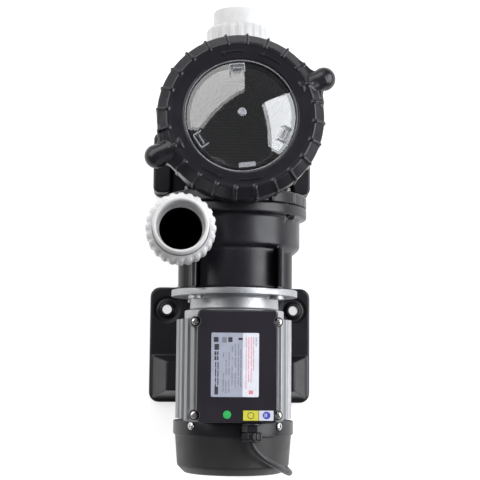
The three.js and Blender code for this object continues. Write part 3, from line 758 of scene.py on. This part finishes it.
def lock_ring():
    profile = rounded([(62, 227.4), (70, 227.4), (70, 239), (82, 239), (86.5, 234), (86.5, 205.2), (91, 205.2),
                       (91.6, 236), (80.5, 246.4), (76, 245.6), (62, 244.4)],
                      [0.5, 0.5, 1, 1, 1, 0.5, 1.2, 3, 2.5, 1, 1.5], 5)
    centre = (0, POT_Y)
    rib = prism([(84, 207), (92.6, 207), (92.9, 238.5), (91, 241.4), (82.2, 247.6), (78.5, 247.2),
                 (78.5, 240)], -1.35, 1.35, "y", AT_POT)
    joined = [turned(rib, RIB_PHASE + 360 * i / RIB_COUNT, centre) for i in range(RIB_COUNT)]
    for angle in HANDLES:
        joined += [turned(shape, angle, centre) for shape in handle()]
    clearance = revolve([(0, 200), (86.4, 200), (86.4, 234), (82, 238.8), (70, 238.8), (70, 227.3),
                         (0, 227.3)], 128, at=AT_POT)
    piece("lock_ring_moulding", [revolve(profile, 192, at=AT_POT)], LID_BLACK, "lock", "lock_ring",
          union=joined, cuts=[clearance], voxel=0.72, relax=4)
    marks = [shape for middle in ARROW_ANGLES for shape in arrow(middle)]
    piece("lock_ring_arrows", marks, LID_BLACK, "lock", bevel=0.3)


def handle():
    """One grip, in the ring's frame, pointing along +X: a ball on a neck, with webbed roots."""
    side = [(79, 33), (86.5, 29.5), (90, 23), (92.4, 16), (95.5, 11.6), (100.6, 11)]
    outline = [(x, -y) for x, y in side] + [(x, y) for x, y in reversed(side)]
    web = prism(outline, 222, 238.6, at=AT_POT, edge=3.0)
    round_side = [(y, x) for x, y in arc(101.4, 0, BALL_R, 180, 0, 15)]
    ball = revolve(round_side, 40, "x", (0, POT_Y, 231.6))
    neck = revolve([(0, 72), (14.5, 72), (12.6, 82), (11.9, 92), (12.6, 101), (0, 101)], 40, "x",
                   (0, POT_Y, 232.6))
    return [web, ball, neck]


def arrow(middle):
    """A plain raised arrow that follows the ring at radius 71."""
    r, z0, z1 = 71, 243, 246.3
    sweep = 8.5
    outline = arc(0, POT_Y, r + 0.8, middle - sweep, middle + sweep, 8)
    outline += list(reversed(arc(0, POT_Y, r - 0.8, middle - sweep, middle + sweep, 8)))
    root = math.radians(middle + sweep)
    head = [polar(r, root + math.radians(4), 0, POT_Y), polar(r + 3, root, 0, POT_Y),
            polar(r - 3, root, 0, POT_Y)]
    return [prism(outline, z0, z1), prism(head, z0, z1)]


def dome(edge, z, rise, steps):
    radius = (edge * edge + rise * rise) / (2 * rise)
    radii = [edge * (1 - i / steps) for i in range(steps + 1)]
    return [(r, z + rise - radius + math.sqrt(radius * radius - r * r)) for r in radii]


def lid():
    inside = list(reversed(dome(57.5, 237, 17, 24)))
    outside = dome(61.4, 241, 17, 24)
    flange = rounded([(57.5, 222.4), (82, 222.4), (82, 227), (61.4, 227)], [0.4, 1, 1, 0.5], 4)
    nub = [(4.8, 257.6), (4.7, 259.4), (0, 259.4)]
    cap = rounded([(0, 259.5), (4.4, 259.5), (4.2, 261.9), (2.4, 261.9), (1.9, 261.2), (0, 261.2)],
                  [0, 0.2, 0.8, 0.4, 0.2, 0])
    piece("lid_nub", [revolve(cap, 48, at=AT_POT)], FROSTED, "lid")
    outline = inside + flange + [p for p in outside if p[0] > 5] + nub
    piece("lid_dome", [revolve(outline, 192, at=AT_POT)], CLEAR, "lid", "clear_lid", angle=40)
    clips = [part for angle in (96, 213, 336) for part in clip(angle)]
    clips.append(turned(block(52.2, 57.2, POT_Y - 9, POT_Y + 9, 242.6, 246.2, 0.5), 277, (0, POT_Y)))
    rim = rectangle(60.5, 61.9, 240.6, 242.3, 0.4, 4)
    piece("lid_rim", [revolve(rim, 160, at=AT_POT)], FROSTED, "lid")
    piece("lid_clips", clips, FROSTED, "lid", bevel=0.25)


def clip(angle):
    """A clear U-shaped lug under the dome's edge."""
    walls = [(46.5, 56.5, -8.6, -7.4, 249.4), (46.5, 56.5, 7.4, 8.6, 249.4), (55.4, 56.8, -7.4, 7.4, 247.2),
             (50.6, 51.8, -5, 5, 249.2)]
    return [turned(block(x0, x1, POT_Y + y0, POT_Y + y1, 240, top, 0.4), angle, (0, POT_Y))
            for x0, x1, y0, y1, top in walls]


def perforated(columns, rows, at, keep, hole):
    """A grid of cells; at gives a corner's place, keep says which cells stay, hole which are open."""
    work = bmesh.new()
    corners = {}
    for i in range(columns + 1):
        for j in range(rows + 1):
            place_of = at(i, j)
            key = tuple(round(v, 3) for v in place_of)
            if key not in corners:
                corners[key] = work.verts.new(Vector(place_of) * MM)
            corners[i, j] = corners[key]
    open_cells = []
    for i in range(columns):
        for j in range(rows):
            if not keep(i, j):
                continue
            square = ((i, j), (i + 1, j), (i + 1, j + 1), (i, j + 1))
            face = work.faces.new([corners[cell] for cell in square])
            if hole(i, j):
                open_cells.append(face)
    work.normal_update()
    return work, open_cells


def sheet_piece(name, work, open_cells, rim, thickness, material, body):
    """The sheet with each open cell cut out, all but a rim, and given a thickness."""
    bmesh.ops.inset_individual(work, faces=open_cells, thickness=rim * MM, use_even_offset=True)
    bmesh.ops.delete(work, geom=open_cells, context="FACES")
    mesh = bpy.data.meshes.new(name)
    work.to_mesh(mesh)
    work.free()
    target = new_object(name, mesh)
    modify(target, "SOLIDIFY", thickness=thickness * MM, offset=0)
    apply_modifiers(target)
    finish_piece(target, material, body, angle=30)


def basket():
    """A mesh floor and wall, the wall open towards the inlet, with a rim, a foot and a port ring."""
    pitch, reach, floor_z = 4.3, 55.0, 31.2
    cells = 26

    def floor_at(i, j):
        return (i - cells / 2) * pitch, POT_Y + (j - cells / 2) * pitch, floor_z

    def corner_in(i, j, limit):
        return math.hypot((i - cells / 2) * pitch, (j - cells / 2) * pitch) < limit

    def inside(i, j, limit=reach):
        return all(corner_in(i + a, j + b, limit) for a in (0, 1) for b in (0, 1))

    work, holes = perforated(cells, cells, floor_at, inside, lambda i, j: inside(i, j, reach - 2))
    sheet_piece("basket_floor", work, holes, 0.75, 1.2, BASKET_GREY, "basket")

    around, levels = 84, 40
    low, high = 34.0, 206.0

    def wall_at(i, j):
        turn = TAU * (i % around) / around
        z = low + (high - low) * j / levels
        r = 55.2 + 7.4 * (z - floor_z + 0.2) / 183
        return *polar(r, turn, 0, POT_Y), z

    def mouth(i, j):
        x, y, z = wall_at(i, j)
        return y > POT_Y and math.hypot(x, z - INLET.z) < 23

    def open_cell(i, j):
        return 0 < j < levels - 1 and j % 10 != 9 and not mouth(i, j)

    def kept(i, j):
        return not all(mouth(i + a, j + b) for a in (0, 1) for b in (0, 1))

    work, holes = perforated(around, levels, wall_at, kept, open_cell)
    sheet_piece("basket_wall", work, holes, 1.0, 0.9, BASKET_GREY, "basket")
    rim = rounded([(61.7, 205), (63.7, 205), (64.4, 213.6), (68.5, 213.6), (68.5, 217), (61.7, 217)],
                  [0.5, 0.5, 1, 0.6, 1, 1])
    foot = rounded([(53.2, 30), (56.2, 30), (56.4, 35.4), (54.4, 35.4)], 0.5)
    port = rectangle(19.8, 24.6, 0, 2.4, 0.7, 4)
    verts, faces = revolve(port, 64, "y", (0, POT_Y, INLET.z))
    mouth_ring = ([(x, y - 1.8 + math.sqrt(61.2 ** 2 - x * x), z) for x, y, z in verts], faces)
    piece("basket_rims", [revolve(rim, 128, at=AT_POT), revolve(foot, 96, at=AT_POT)],
          BLACK, "basket", "strainer_basket",
          cuts=[cylinder(1.9, -70, 70, 20, "x", (0, POT_Y, 211))])
    piece("basket_mouth", [mouth_ring], BLACK, "basket")


def bail():
    """The basket's handle: a half hoop with a pin at each end."""
    height = 211
    hoop_points = [(x, y, height) for x, y in arc(0, POT_Y, 52, 190, 350, 16)]
    left = [(-62.6, POT_Y, height), (-56, POT_Y, height)]
    right = [(56, POT_Y, height), (62.6, POT_Y, height)]
    hoop = round_curve("bail_hoop", left + hoop_points + right, 1.55, 4, BLACK)
    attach(hoop, "bail")
    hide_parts("basket_handle")


# ---- Motor ----

COVER_SCREWS = [(46, -21.5), (-46, -21.5), (-46, -124), (46, -124)]
COWL_SCREW_ANGLES = (45, 135, 225, 315)
COWL_SCREW_Y = -137


def motor_flange():
    profile = [(9.5, 6.3), (20.3, 6.3), (20.3, -9), (44, -9), (44, -17), (57.8, -17), (57.8, -7), (51.8, -5.2),
               (51.2, 9), (73.5, 9.4), (73.5, 17), (9.5, 17)]
    soft = rounded(profile, [0.4, 0.5, 0.4, 0.5, 0.4, 0.8, 0.8, 1.6, 3.2, 1.1, 0.9, 0.4], 5)
    pad = rounded([(0, 5), (8.4, 5), (7.6, 9.8), (0, 9.8)], [0, 0.8, 0, 0])
    ears = [revolve(pad, 40, "y", on_y(bolt)) for bolt in FLANGE_BOLTS]
    holes = [cylinder(3.4, 2, 19, 24, "y", on_y(bolt)) for bolt in FLANGE_BOLTS]
    seats = [cylinder(6.6, 2, 8.7, 32, "y", on_y(bolt)) for bolt in FLANGE_BOLTS]
    piece("motor_flange_casting", [revolve(soft, 160, "y", AT_SHAFT)], CAST,
          replaces="motor_flange", union=ears, cuts=seats + holes, angle=40)


def fin_outline():
    """The extrusion's section: rounded fins all round."""
    corners = []
    fins = 36
    for i in range(fins):
        for part, r in ((0.04, 63.6), (0.30, 63.6), (0.43, 67), (0.88, 67)):
            corners.append(polar(r, (i + part) / fins * TAU, 0, SHAFT_Z))
    return rounded(corners, 0.9, 3)


def motor_housing():
    low, high = node_box("motor_housing")
    seat = high.z
    cuts = [block(-80, 80, -140, 0, seat, 220), cylinder(55.2, -140, 0, 96, "y", AT_SHAFT)]
    pad = prism(rectangle(-44, 44, 140, seat, 1.5), low.y, high.y, "y")
    bosses = [cylinder(6.2, 140, seat - 0.1, 32, at=(x, y, 0))
              for x, y in COVER_SCREWS]
    cuts += [cylinder(2.2, 168, 182, 20, at=(x, y, 0)) for x, y in COVER_SCREWS]
    piece("motor_extrusion", [prism(fin_outline(), low.y, high.y, "y")], EXTRUDED,
          replaces="motor_housing", union=[pad] + bosses, cuts=cuts, angle=38)


def rear_shield():
    profile = [(9.5, -141), (65.8, -141), (65.8, -133.3), (57.8, -133.3), (57.8, -130.4), (26, -130.4),
               (26, -117), (20.3, -117), (20.3, -131), (9.5, -131)]
    piece("rear_shield_casting", [revolve(rounded(profile, 0.6, 3), 128, "y", AT_SHAFT)], CAST,
          replaces="rear_end_shield")


def radial(shape, angle, y):
    """A shape made along +Z, turned to point out of the motor at an angle in the XZ plane."""
    return moved(shape, spun((0, y, SHAFT_Z), math.radians(90 - angle)))


def fan_cover():
    profile = [(0, -191.4), (56, -191.4), (64.3, -183), (67.0, -149.2), (68.4, -148.2), (68.4, -133), (66.1, -133),
               (66.1, -147.5), (64.5, -149.5), (61.9, -182.5), (55, -189), (0, -189)]
    soft = rounded(profile, [0, 4, 5, 0.8, 0.9, 0.7, 0.5, 1, 1, 3, 3, 0], 5)
    cuts = []
    for count, start, end in ((8, 12, 26), (16, 31, 50)):
        for i in range(count):
            vent = prism(rectangle(start, end, -2.2, 2.2, 2.1), -196, -187, "y")
            cuts.append(moved(vent, spun(AT_SHAFT, TAU * i / count)))
    for angle in COWL_SCREW_ANGLES:
        cuts.append(radial(cylinder(2.2, 60, 72, 24), angle, COWL_SCREW_Y))
        cuts.append(radial(cylinder(5.4, 68.2, 72, 32), angle, COWL_SCREW_Y))
    piece("fan_cowl", [revolve(soft, 160, "y", AT_SHAFT)], COVER_GREY, replaces="fan_cover",
          cuts=cuts, angle=32)
    band = rounded([(66.6, -147.4), (69.3, -147.4), (69.3, -132.6), (66.6, -132.6)], [0.2, 0.5, 0.9, 0.2])
    cuts = [radial(cylinder(5.4, 60, 72, 32), angle, COWL_SCREW_Y) for angle in COWL_SCREW_ANGLES]
    notch = block(GLAND.x - 15, GLAND.x + 15, -140, -120, 186, 200)
    piece("fan_cowl_band", [revolve(band, 160, "y", AT_SHAFT)], BLACK, cuts=cuts + [notch])


def terminal_cover():
    low, high = node_box("terminal_cover")
    body = prism(rectangle(-44, 44.8, low.y, high.y, 5, 6), low.z, high.z, edge=2.2)
    cuts, ears = [], []
    for x, y in COVER_SCREWS:
        cuts.append(revolve([(0, 190), (5.5, 190), (5.8, 215), (0, 215)], 48, at=(x, y, 0)))
        ear = rounded([(0, low.z), (5.6, low.z), (5.6, 190), (0, 190)], [0, 0, 0.8, 0])
        ears.append(revolve(ear, 48, at=(x, y, 0)))
        cuts.append(cylinder(2.2, 170, 195, 24, at=(x, y, 0)))
    cuts.append(block(-36, 36, -128, -13, 170, high.z - 3, 2))
    cuts.append(cylinder(5.8, -134, -126, 32, "y", (GLAND.x, 0, GLAND.z - 2)))
    piece("terminal_box_lid", [body], COVER_BLACK, replaces="terminal_cover", union=ears,
          cuts=cuts, voxel=0.7, relax=3)


# ---- Label and stickers ----

LABEL_BOX = (-28.5, 23.7, -103.8, -34.2)
LABEL_SPLIT = 5.9
# Generic print: (x, first y, lengths along -Y with blanks negative, width) for each line.
PRINT_DARK = [
    (-23.3, -39, [5.4], 5.2), (-22.6, -46.5, [6.5], 5.0), (-24.0, -54.5, [4.2, 4.2], 2.0),
    (-21.4, -54.5, [4.2, 4.2], 1.6), (-23.6, -66, [6, 9, 5, 4], 1.1), (-21.0, -66, [8, 7, 8], 1.1),
    (-22.6, -92.6, [8.6], 4.0), (-7.8, -39, [5.4], 4.6), (3.4, -39.6, [2.4], 4.6),
]
PRINT_GREY = [(-14.3, -39, [6], 5.0)] + [(x, -38.7, lengths, 0.95) for x, lengths in (
    (-15.2, [-16, 5, -8, -6, 5, 9, 4]), (-12.2, [-24, 8, 7, -4, 7, 6]), (-9.0, [-16, 9, 5, 8, -3, 8, 5]),
    (-5.6, [-9, 6, -3, 3, -5, 6, 7, 6]), (-2.2, [-6, 5, 8, 4, 6, -3, 7, 8]),
    (1.2, [-6, 6, 7, 5, 9, 4, 8]), (3.9, [-12, 11, 9, 12, 6]))] + [(20.4, -39, [5, 4], 0.7)]
PRINT_RED = [(x, -36.7, lengths, 0.75) for x, lengths in (
    (9.6, [-1, 12, 9, 14, 7, 10]), (12.4, [-1, 8, 15, 10, 12]), (15.2, [-1, 14, 9, 7, 16]),
    (17.6, [-1, 9, 12, 13]))] + [(15.0, -96.5, [4.2], 4.6)]


def film(name, shapes, material):
    piece(name, shapes, material, angle=30)


def plate(x0, x1, y0, y1, lift, thickness, r=0.0):
    """A film lying a little above the terminal cover."""
    z = COVER_TOP + lift
    return prism(rectangle(x0, x1, y0, y1, r, 4), z, z + thickness)


def bars(x, y_start, lengths, width, gap=1.1):
    shapes, y = [], y_start
    for length in lengths:
        if length > 0:
            shapes.append(plate(x - width / 2, x + width / 2, y - length, y, 0.22, 0.05))
        y -= abs(length) + gap
    return shapes


def label():
    x0, x1, y0, y1 = LABEL_BOX
    film("rating_label", [plate(x0, x1, y0, y1, 0.02, 0.18, 1.6)], LABEL)
    side = plate(LABEL_SPLIT, x1 - 0.15, y0 + 0.15, y1 - 0.15, 0.205, 0.02, 1.4)
    film("rating_label_side", [side], LABEL_PALE)
    for name, material, rows in (("dark", INK, PRINT_DARK), ("grey", INK_GREY, PRINT_GREY),
                                 ("red", INK_RED, PRINT_RED)):
        film(f"label_print_{name}", [bar for row in rows for bar in bars(*row)], material)


def disc(x, y, r, lift, thickness):
    z = COVER_TOP + lift
    return cylinder(r, z, z + thickness, 48, at=(x, y, 0))


def stickers():
    film("earth_dot", [disc(-10.6, -122.8, 4.35, 0.02, 0.2)], GREEN)
    film("yellow_sticker", [plate(6.9, 23.6, -129.0, -118.2, 0.02, 0.18, 0.5)], YELLOW)
    film("white_sticker", [plate(24.1, 39.9, -129.0, -118.2, 0.02, 0.18, 0.5)], PALE)
    film("blue_disc", [disc(32.3, -123.3, 4.1, 0.2, 0.05)], BLUE)
    marks = [plate(31.0 + dx, 31.9 + dx, -125.2, -121.4, 0.25, 0.03) for dx in (-0.8, 0.9)]
    film("blue_disc_marks", marks, PALE)
    ring = rectangle(3.0, 3.7, 0, 0.05)
    film("yellow_mark", [revolve(ring, 40, at=(15.2, -123.6, COVER_TOP + 0.2))], INK)


# ---- Cable gland ----

def gland():
    low, high = node_box("gland_body")
    nut_low = node_box("gland_nut")[0]
    x, z = GLAND.x, GLAND.z
    at = (x, 0, z)
    body = prism(rounded(hexagon(11.3), 1.0, 3), low.y, -132.3, "y", at, edge=0.5)
    washer = rounded([(0, -134.2), (11.6, -134.2), (11.6, -132.3), (0, -132.3)], [0, 0.5, 0.3, 0])
    stub = cylinder(5.4, -134, -128.5, 40, "y", (x, 0, z - 2))
    through = cylinder(3.7, -160, -125, 32, "y", at)
    piece("gland_hex", [body], BLACK, replaces="gland_body", union=[revolve(washer, 64, "y", at), stub],
          cuts=[through], voxel=0.4, relax=3)
    cap = rounded([(0, nut_low.y), (5.6, nut_low.y), (8.0, -151.6), (10.2, -149.4), (10.4, -142.4), (0, -142.4)],
                  [0, 1.2, 1, 1.5, 0.6, 0], 4)
    rib = block(9.4, 11.3, -149.2, -142.6, -0.8, 0.8)
    ribs = [moved(rib, spun(at, TAU * i / 12)) for i in range(12)]
    flare = rounded([(4.6, -152.9), (11.8, -151.8), (12.2, -150.2), (5.5, -149.2)], 0.7)
    piece("gland_cap", [revolve(cap, 64, "y", at)], BLACK, replaces="gland_nut",
          union=ribs + [revolve(flare, 64, "y", at)], cuts=[through], voxel=0.4, relax=3)


# ---- Fasteners ----

def hex_bolt(length, head, shank):
    """A hexagon bolt along +Z, its head's seat at 0."""
    collar = head * 1.06
    washer = rounded([(0, 0), (collar, 0), (collar, 1.0), (0, 1.0)], [0, 0, 0.3, 0])
    rod = [(0, -length), (shank - 0.4, -length), (shank, -length + 0.5), (shank, 0.3), (0, 0.3)]
    crown = prism(rounded(hexagon(head), 0.4, 2), 0.9, 4.0, edge=0.45)
    return [crown, revolve(washer, 48), revolve(rod, 32)]


def cross_screw(length, head, shank, rise):
    """A domed screw along +Z with a cross recess, as (shape to keep, shapes to cut)."""
    crown = [(0, 0), (head, 0), (head, rise * 0.35)]
    for across, up in (polar(1, math.radians(a)) for a in (25, 50, 70)):
        crown.append((head * across, rise * (0.35 + 0.65 * up)))
    crown.append((0, rise))
    shank_shape = revolve([(0, -length), (shank, -length + 1), (shank, 0.2), (0, 0.2)], 24)
    cuts = [block(-head * 0.55, head * 0.55, -0.55, 0.55, rise * 0.45, rise + 1),
            block(-0.55, 0.55, -head * 0.55, head * 0.55, rise * 0.45, rise + 1)]
    return [revolve(crown, 40), shank_shape], cuts


def fasteners():
    for i, (flange_bolt, casing_bolt) in enumerate(zip(FLANGE_BOLTS, CASING_BOLTS), 1):
        at = spun(on_y(flange_bolt, 8.7), TAU / 4, "X")
        piece(f"flange_bolt_body_{i}", [moved(s, at) for s in hex_bolt(17, 5.2, 3)], STEEL,
              replaces=f"flange_bolt_{i}")
        at = spun(on_y(casing_bolt, 127.3), -TAU / 4, "X")
        piece(f"casing_bolt_body_{i}", [moved(s, at) for s in hex_bolt(23, 4.8, 2.5)], DARK_STEEL,
              replaces=f"casing_bolt_{i}")
    for i, (x, y) in enumerate(COVER_SCREWS, 1):
        keep, cuts = cross_screw(17, 4.1, 1.8, 2.6)
        at = spun((x, y, 190.3), 0.4 + i, "Z")
        piece(f"cover_screw_body_{i}", [moved(keep[0], at)], STEEL, replaces=f"cover_screw_{i}",
              union=[moved(keep[1], at)], cuts=[moved(c, at) for c in cuts])
    for i, angle in enumerate(COWL_SCREW_ANGLES, 1):
        keep, cuts = cross_screw(8, 4.4, 1.8, 2.4)
        lift = spun((0, 0, 69.1), 0.3 + i, "Z")
        head, shank, *recess = [radial(moved(s, lift), angle, COWL_SCREW_Y) for s in keep + cuts]
        piece(f"cowl_screw_body_{i}", [head], STEEL, replaces=f"fan_cover_screw_{i}", union=[shank],
              cuts=recess)


# ---- Carried-over CAD nodes ----

INSIDE = {
    "shaft": SHAFT, "rotor_core": CORE, "stator_core": CORE, "winding_front": COPPER, "winding_rear": COPPER,
    "front_bearing": STEEL, "rear_bearing": STEEL, "seal_seat": CERAMIC, "seal_head": CORE, "impeller": BLACK,
    "cooling_fan": COVER_GREY, "diffuser": BLACK, "casing_o_ring": RUBBER, "lid_o_ring": RUBBER,
    "inlet_o_ring": RUBBER, "outlet_o_ring": RUBBER, "capacitor": CAN, "terminal_block": CAN,
}


def carried_over():
    for name, material in INSIDE.items():
        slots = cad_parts[name].data.materials
        slots.clear()
        slots.append(material)


# ---- Floor and light ----

def floor():
    size = 3.2
    mesh = bpy.data.meshes.new("floor")
    corners = [(x, y, 0) for x, y in rectangle(-size, size, -size, size)]
    mesh.from_pydata(corners, [], [(0, 1, 2, 3)])
    made = new_object("floor", mesh)
    made.location.z = -0.0002
    surface = Surface("floor_paper", (0.5, 0.5, 0.5), 0.9, Emission_Color=(1, 1, 1, 1),
                      Emission_Strength=0.72)
    surface.color_between(surface.noise(3, 2), (0.49, 0.49, 0.49), (0.51, 0.51, 0.51))
    mesh.materials.append(surface.material)


def softbox(name, corner, along, down, power, color=(1, 1, 1)):
    """A rectangular light from one top corner and its two edges, in metres."""
    data = bpy.data.lights.new(name, "AREA")
    data.shape = "RECTANGLE"
    corner, along, down = Vector(corner), Vector(along), Vector(down)
    data.size, data.size_y = along.length, down.length
    data.energy = power
    data.color = color
    light = bpy.data.objects.new(name, data)
    x = along.normalized()
    y = -(down - x * down.dot(x)).normalized()
    turn = Matrix((x, y, x.cross(y))).transposed().to_4x4()
    light.matrix_world = Matrix.Translation(corner + along / 2 + down / 2) @ turn
    scene.collection.objects.link(light)


def lighting():
    world = bpy.data.worlds.new("studio")
    scene.world = world
    world.use_nodes = True
    background = world.node_tree.nodes["Background"]
    background.inputs["Color"].default_value = (0.95, 0.96, 1.0, 1)
    background.inputs["Strength"].default_value = 0.19
    lid_top = Vector((0, 0.2, 0.24))
    softbox("left_softbox", lid_top + Vector((0.213, 1.46, 1.69)), (-1.73, -1.65, -0.26),
            (-0.07, 0.28, -1.30), 30)
    softbox("right_softbox", lid_top + Vector((1.038, -0.76, 1.2)), (-0.365, 1.382, 0.0),
            (0.328, 0.087, -0.98), 26, (0.95, 0.97, 1.0))
    softbox("rear_fill", (0.9, -1.5, 1.1), (-1.7, 0, 0), (0, -0.3, -0.6), 6)
    scene.view_settings.view_transform = "Standard"
    scene.view_settings.look = "None"
    scene.view_settings.exposure = 0.0


for build in (base, casing, pot, drain_plugs, unions, lock_ring, lid, basket, bail, motor_flange,
              motor_housing, rear_shield, fan_cover, terminal_cover, label, stickers, gland, fasteners,
              carried_over, floor, lighting):
    build()
